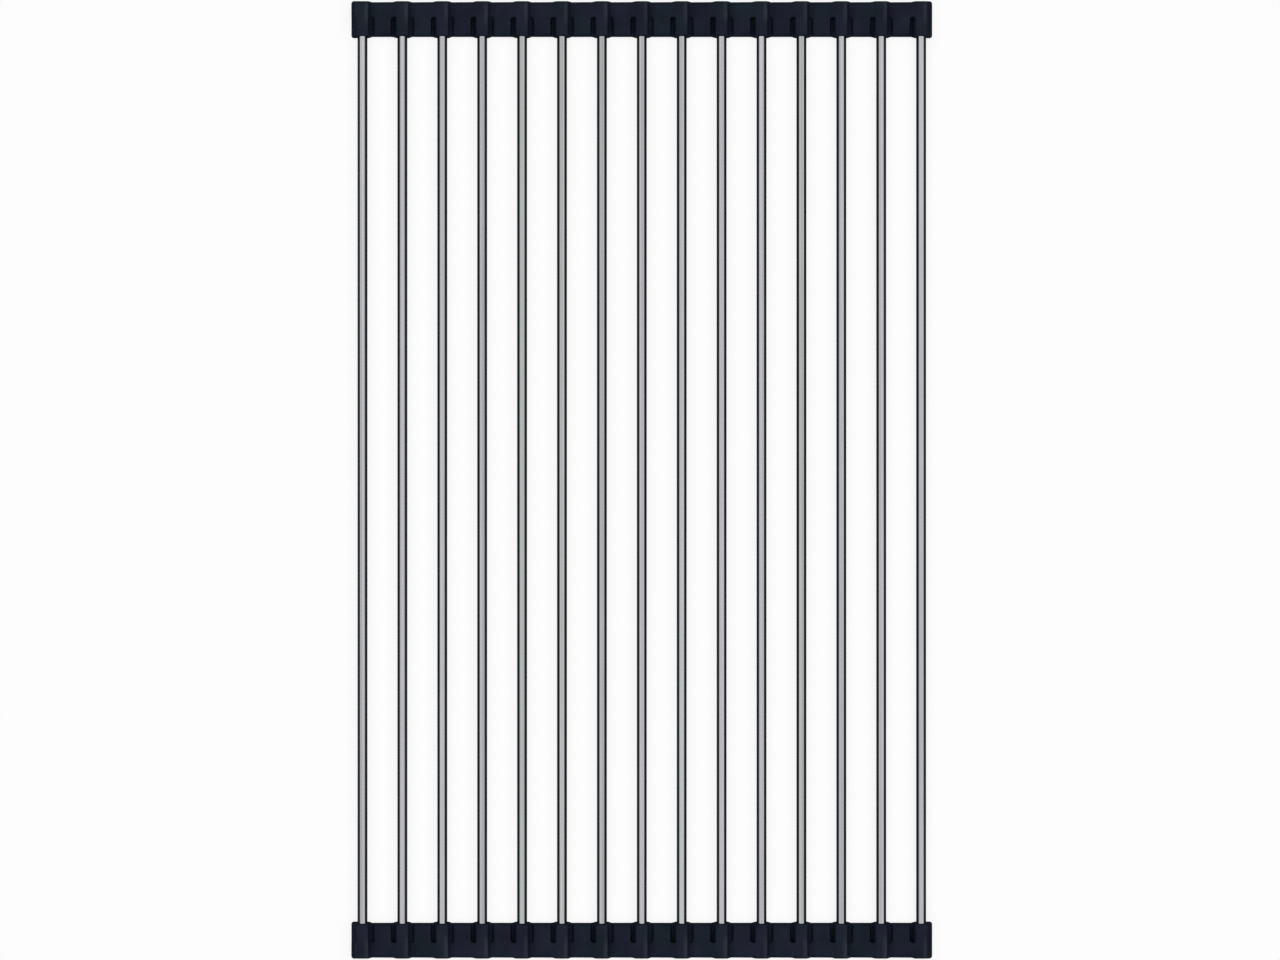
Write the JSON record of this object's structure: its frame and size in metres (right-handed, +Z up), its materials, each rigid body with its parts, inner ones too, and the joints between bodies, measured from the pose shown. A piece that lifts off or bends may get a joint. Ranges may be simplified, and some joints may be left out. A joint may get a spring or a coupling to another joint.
{
  "type": "roll-up sink drainer grid",
  "caption": "Roll-up drainer grid for a kitchen sink: a row of slim steel tubes held at both ends in dark silicone strips with a boss for each tube and flex grooves between.",
  "frame": {"origin": "middle of the underside of the grid as it lies flat, with all tubes in one plane", "axes": "+X along the strips from the first tube to the last, +Y along the tubes from the front strip to the rear strip, +Z up"},
  "size_m": [0.2912, 0.48, 0.008],
  "materials": {
    "steel_tube": "fine brushed stainless steel, drawn lengthwise",
    "silicone_strip": "matt navy-black moulded silicone"
  },
  "bodies": {
    "rung_01": {"tube_01": "steel_tube", "front_strip_01": "silicone_strip", "rear_strip_01": "silicone_strip"},
    "rung_02": {"tube_02": "steel_tube", "front_strip_02": "silicone_strip", "rear_strip_02": "silicone_strip"},
    "rung_03": {"tube_03": "steel_tube", "front_strip_03": "silicone_strip", "rear_strip_03": "silicone_strip"},
    "rung_04": {"tube_04": "steel_tube", "front_strip_04": "silicone_strip", "rear_strip_04": "silicone_strip"},
    "rung_05": {"tube_05": "steel_tube", "front_strip_05": "silicone_strip", "rear_strip_05": "silicone_strip"},
    "rung_06": {"tube_06": "steel_tube", "front_strip_06": "silicone_strip", "rear_strip_06": "silicone_strip"},
    "rung_07": {"tube_07": "steel_tube", "front_strip_07": "silicone_strip", "rear_strip_07": "silicone_strip"},
    "rung_08": {"tube_08": "steel_tube", "front_strip_08": "silicone_strip", "rear_strip_08": "silicone_strip"},
    "rung_09": {"tube_09": "steel_tube", "front_strip_09": "silicone_strip", "rear_strip_09": "silicone_strip"},
    "rung_10": {"tube_10": "steel_tube", "front_strip_10": "silicone_strip", "rear_strip_10": "silicone_strip"},
    "rung_11": {"tube_11": "steel_tube", "front_strip_11": "silicone_strip", "rear_strip_11": "silicone_strip"},
    "rung_12": {"tube_12": "steel_tube", "front_strip_12": "silicone_strip", "rear_strip_12": "silicone_strip"},
    "rung_13": {"tube_13": "steel_tube", "front_strip_13": "silicone_strip", "rear_strip_13": "silicone_strip"},
    "rung_14": {"tube_14": "steel_tube", "front_strip_14": "silicone_strip", "rear_strip_14": "silicone_strip"},
    "rung_15": {"tube_15": "steel_tube", "front_strip_15": "silicone_strip", "rear_strip_15": "silicone_strip"}
  },
  "joints": [
    {"name": "flex_01", "type": "hinge", "parent": "rung_02", "child": "rung_01", "pos_m": [-0.1352, 0, 0.0006], "axis": [0, 1, 0], "range_deg": [0, 25], "stiffness_Nm_per_rad": 0.0035},
    {"name": "flex_02", "type": "hinge", "parent": "rung_03", "child": "rung_02", "pos_m": [-0.1152, 0, 0.0006], "axis": [0, 1, 0], "range_deg": [0, 26.3], "stiffness_Nm_per_rad": 0.0035},
    {"name": "flex_03", "type": "hinge", "parent": "rung_04", "child": "rung_03", "pos_m": [-0.0952, 0, 0.0006], "axis": [0, 1, 0], "range_deg": [0, 27.6], "stiffness_Nm_per_rad": 0.0035},
    {"name": "flex_04", "type": "hinge", "parent": "rung_05", "child": "rung_04", "pos_m": [-0.0752, 0, 0.0006], "axis": [0, 1, 0], "range_deg": [0, 28.9], "stiffness_Nm_per_rad": 0.0035},
    {"name": "flex_05", "type": "hinge", "parent": "rung_06", "child": "rung_05", "pos_m": [-0.0552, 0, 0.0006], "axis": [0, 1, 0], "range_deg": [0, 30.2], "stiffness_Nm_per_rad": 0.0035},
    {"name": "flex_06", "type": "hinge", "parent": "rung_07", "child": "rung_06", "pos_m": [-0.0352, 0, 0.0006], "axis": [0, 1, 0], "range_deg": [0, 31.5], "stiffness_Nm_per_rad": 0.0035},
    {"name": "flex_07", "type": "hinge", "parent": "rung_08", "child": "rung_07", "pos_m": [-0.0152, 0, 0.0006], "axis": [0, 1, 0], "range_deg": [0, 32.8], "stiffness_Nm_per_rad": 0.0035},
    {"name": "flex_08", "type": "hinge", "parent": "rung_08", "child": "rung_09", "pos_m": [0.0048, 0, 0.0006], "axis": [0, -1, 0], "range_deg": [0, 34.1], "stiffness_Nm_per_rad": 0.0035},
    {"name": "flex_09", "type": "hinge", "parent": "rung_09", "child": "rung_10", "pos_m": [0.0248, 0, 0.0006], "axis": [0, -1, 0], "range_deg": [0, 35.4], "stiffness_Nm_per_rad": 0.0035},
    {"name": "flex_10", "type": "hinge", "parent": "rung_10", "child": "rung_11", "pos_m": [0.0448, 0, 0.0006], "axis": [0, -1, 0], "range_deg": [0, 36.7], "stiffness_Nm_per_rad": 0.0035},
    {"name": "flex_11", "type": "hinge", "parent": "rung_11", "child": "rung_12", "pos_m": [0.0648, 0, 0.0006], "axis": [0, -1, 0], "range_deg": [0, 38], "stiffness_Nm_per_rad": 0.0035},
    {"name": "flex_12", "type": "hinge", "parent": "rung_12", "child": "rung_13", "pos_m": [0.0848, 0, 0.0006], "axis": [0, -1, 0], "range_deg": [0, 39.3], "stiffness_Nm_per_rad": 0.0035},
    {"name": "flex_13", "type": "hinge", "parent": "rung_13", "child": "rung_14", "pos_m": [0.1048, 0, 0.0006], "axis": [0, -1, 0], "range_deg": [0, 40.6], "stiffness_Nm_per_rad": 0.0035},
    {"name": "flex_14", "type": "hinge", "parent": "rung_14", "child": "rung_15", "pos_m": [0.1248, 0, 0.0006], "axis": [0, -1, 0], "range_deg": [0, 41.9], "stiffness_Nm_per_rad": 0.0035}
  ],
  "couplings": [
    {"joint": "flex_01", "follows": "flex_08", "ratio": 0.73314},
    {"joint": "flex_02", "follows": "flex_08", "ratio": 0.77126},
    {"joint": "flex_03", "follows": "flex_08", "ratio": 0.80938},
    {"joint": "flex_04", "follows": "flex_08", "ratio": 0.84751},
    {"joint": "flex_05", "follows": "flex_08", "ratio": 0.88563},
    {"joint": "flex_06", "follows": "flex_08", "ratio": 0.92375},
    {"joint": "flex_07", "follows": "flex_08", "ratio": 0.96188},
    {"joint": "flex_09", "follows": "flex_08", "ratio": 1.0381},
    {"joint": "flex_10", "follows": "flex_08", "ratio": 1.0762},
    {"joint": "flex_11", "follows": "flex_08", "ratio": 1.1144},
    {"joint": "flex_12", "follows": "flex_08", "ratio": 1.1525},
    {"joint": "flex_13", "follows": "flex_08", "ratio": 1.1906},
    {"joint": "flex_14", "follows": "flex_08", "ratio": 1.2287}
  ]
}
